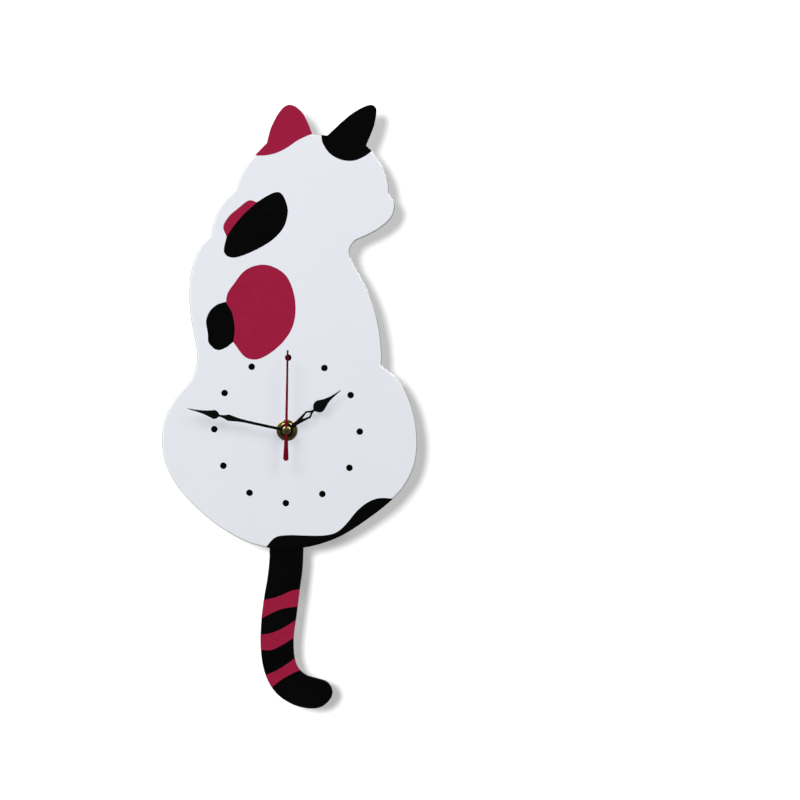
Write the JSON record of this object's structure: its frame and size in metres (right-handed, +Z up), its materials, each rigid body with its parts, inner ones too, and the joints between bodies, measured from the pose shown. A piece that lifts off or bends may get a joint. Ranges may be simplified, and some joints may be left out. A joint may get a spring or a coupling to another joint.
{
  "type": "cat tail clock",
  "caption": "Wall clock cut as a sitting cat in white sheet with black and raspberry patches, dot dial, spade hands, quartz movement and a swinging striped tail.",
  "frame": {"origin": "centre of the hanger's eye, in the wall plane", "axes": "+Z up, +X to the right seen from the front, +Y into the wall; the dial faces -Y"},
  "size_m": [0.1939, 0.0329, 0.4603],
  "materials": {
    "white_acrylic": "polished cast sheet, white",
    "black_acrylic": "polished cast sheet, black",
    "raspberry_film": "smooth printed film, raspberry red",
    "black_film": "smooth printed film, black",
    "brass": "turned and polished",
    "rubber": "matt",
    "zinc_steel": "zinc plated sheet",
    "bright_steel": "bright drawn",
    "nickel_strip": "nickel plated spring strip",
    "case_plastic": "fine spark texture, black",
    "works_plastic": "moulded, ivory",
    "gear_plastic": "moulded acetal, natural",
    "knob_plastic": "moulded, off-white",
    "motor_iron": "annealed strip",
    "copper_wire": "enamelled copper winding",
    "board": "solder resist over laminate",
    "epoxy": "domed black epoxy",
    "cell_jacket": "printed foil jacket, plain",
    "magnet": "sintered",
    "black_paint": "satin black on aluminium",
    "red_paint": "satin dark red on aluminium"
  },
  "bodies": {
    "clock": {"cat_plate": "white_acrylic", "ear_patch_raspberry": "raspberry_film", "shoulder_patch_raspberry": "raspberry_film", "back_patch_raspberry": "raspberry_film", "ear_patch_black": "black_film", "shoulder_patch_black": "black_film", "back_patch_black": "black_film", "haunch_patch_black": "black_film", "hour_dots": "black_film", "fixing_nut": "brass", "brass_washer": "brass", "threaded_bush": "brass", "rubber_washer": "rubber", "hanger_plate": "zinc_steel", "cover_screws": "bright_steel", "works_screws": "bright_steel", "movement_case": "case_plastic", "rear_cover": "case_plastic", "middle_plate": "works_plastic", "bridge_plate": "works_plastic", "coil_spool": "works_plastic", "drive_spool": "works_plastic", "stator": "motor_iron", "coil_core": "motor_iron", "coil_winding": "copper_wire", "drive_winding": "copper_wire", "circuit_board": "board", "chip_blob": "epoxy", "quartz_crystal": "bright_steel", "battery_cell": "cell_jacket", "contact_positive": "nickel_strip", "contact_negative": "nickel_strip", "rocker_pin": "bright_steel"},
    "hour": {"hour_hand": "black_paint", "hour_wheel": "gear_plastic"},
    "minute": {"minute_hand": "black_paint", "minute_nut": "brass", "centre_wheel": "gear_plastic"},
    "second": {"second_hand": "red_paint", "second_hub": "brass", "second_wheel": "gear_plastic", "second_arbor": "bright_steel"},
    "third": {"third_wheel": "gear_plastic"},
    "intermediate": {"intermediate_wheel": "gear_plastic"},
    "rotor": {"rotor_pinion": "gear_plastic", "rotor_magnet": "magnet"},
    "motion": {"motion_wheel": "gear_plastic"},
    "knob": {"setting_knob": "knob_plastic"},
    "tail": {"pendulum_rocker": "gear_plastic", "pendulum_magnet": "magnet", "tail_hanger": "bright_steel", "tail_plate": "black_acrylic", "tail_stripe_upper": "raspberry_film", "tail_stripe_middle": "raspberry_film", "tail_stripe_lower": "raspberry_film"}
  },
  "joints": [
    {"name": "second_hand_turn", "type": "hinge", "parent": "clock", "child": "second", "pos_m": [0, -0.01, -0.04], "axis": [0, 1, 0], "continuous": true},
    {"name": "minute_hand_turn", "type": "hinge", "parent": "clock", "child": "minute", "pos_m": [0, -0.01, -0.04], "axis": [0, 1, 0], "continuous": true},
    {"name": "hour_hand_turn", "type": "hinge", "parent": "clock", "child": "hour", "pos_m": [0, -0.01, -0.04], "axis": [0, 1, 0], "continuous": true},
    {"name": "third_wheel_turn", "type": "hinge", "parent": "clock", "child": "third", "pos_m": [0.0102, -0.01, -0.04], "axis": [0, 1, 0], "continuous": true},
    {"name": "intermediate_wheel_turn", "type": "hinge", "parent": "clock", "child": "intermediate", "pos_m": [0.00552, -0.01, -0.04463], "axis": [0, 1, 0], "continuous": true},
    {"name": "rotor_turn", "type": "hinge", "parent": "clock", "child": "rotor", "pos_m": [0.01078, -0.01, -0.04271], "axis": [0, 1, 0], "continuous": true},
    {"name": "motion_wheel_turn", "type": "hinge", "parent": "clock", "child": "motion", "pos_m": [-0.00679, -0.01, -0.03321], "axis": [0, 1, 0], "continuous": true},
    {"name": "setting_knob_turn", "type": "hinge", "parent": "clock", "child": "knob", "pos_m": [-0.01358, -0.01, -0.02642], "axis": [0, 1, 0], "continuous": true},
    {"name": "tail_swing", "type": "hinge", "parent": "clock", "child": "tail", "pos_m": [0, -0.009, -0.08], "axis": [0, 1, 0], "range_deg": [-12, 12]}
  ],
  "couplings": [
    {"joint": "minute_hand_turn", "follows": "second_hand_turn", "ratio": 0.016667},
    {"joint": "hour_hand_turn", "follows": "second_hand_turn", "ratio": 0.0013889},
    {"joint": "third_wheel_turn", "follows": "second_hand_turn", "ratio": -0.13333},
    {"joint": "intermediate_wheel_turn", "follows": "second_hand_turn", "ratio": -5},
    {"joint": "rotor_turn", "follows": "second_hand_turn", "ratio": 30},
    {"joint": "motion_wheel_turn", "follows": "second_hand_turn", "ratio": -0.0055556},
    {"joint": "setting_knob_turn", "follows": "second_hand_turn", "ratio": 0.016667}
  ]
}
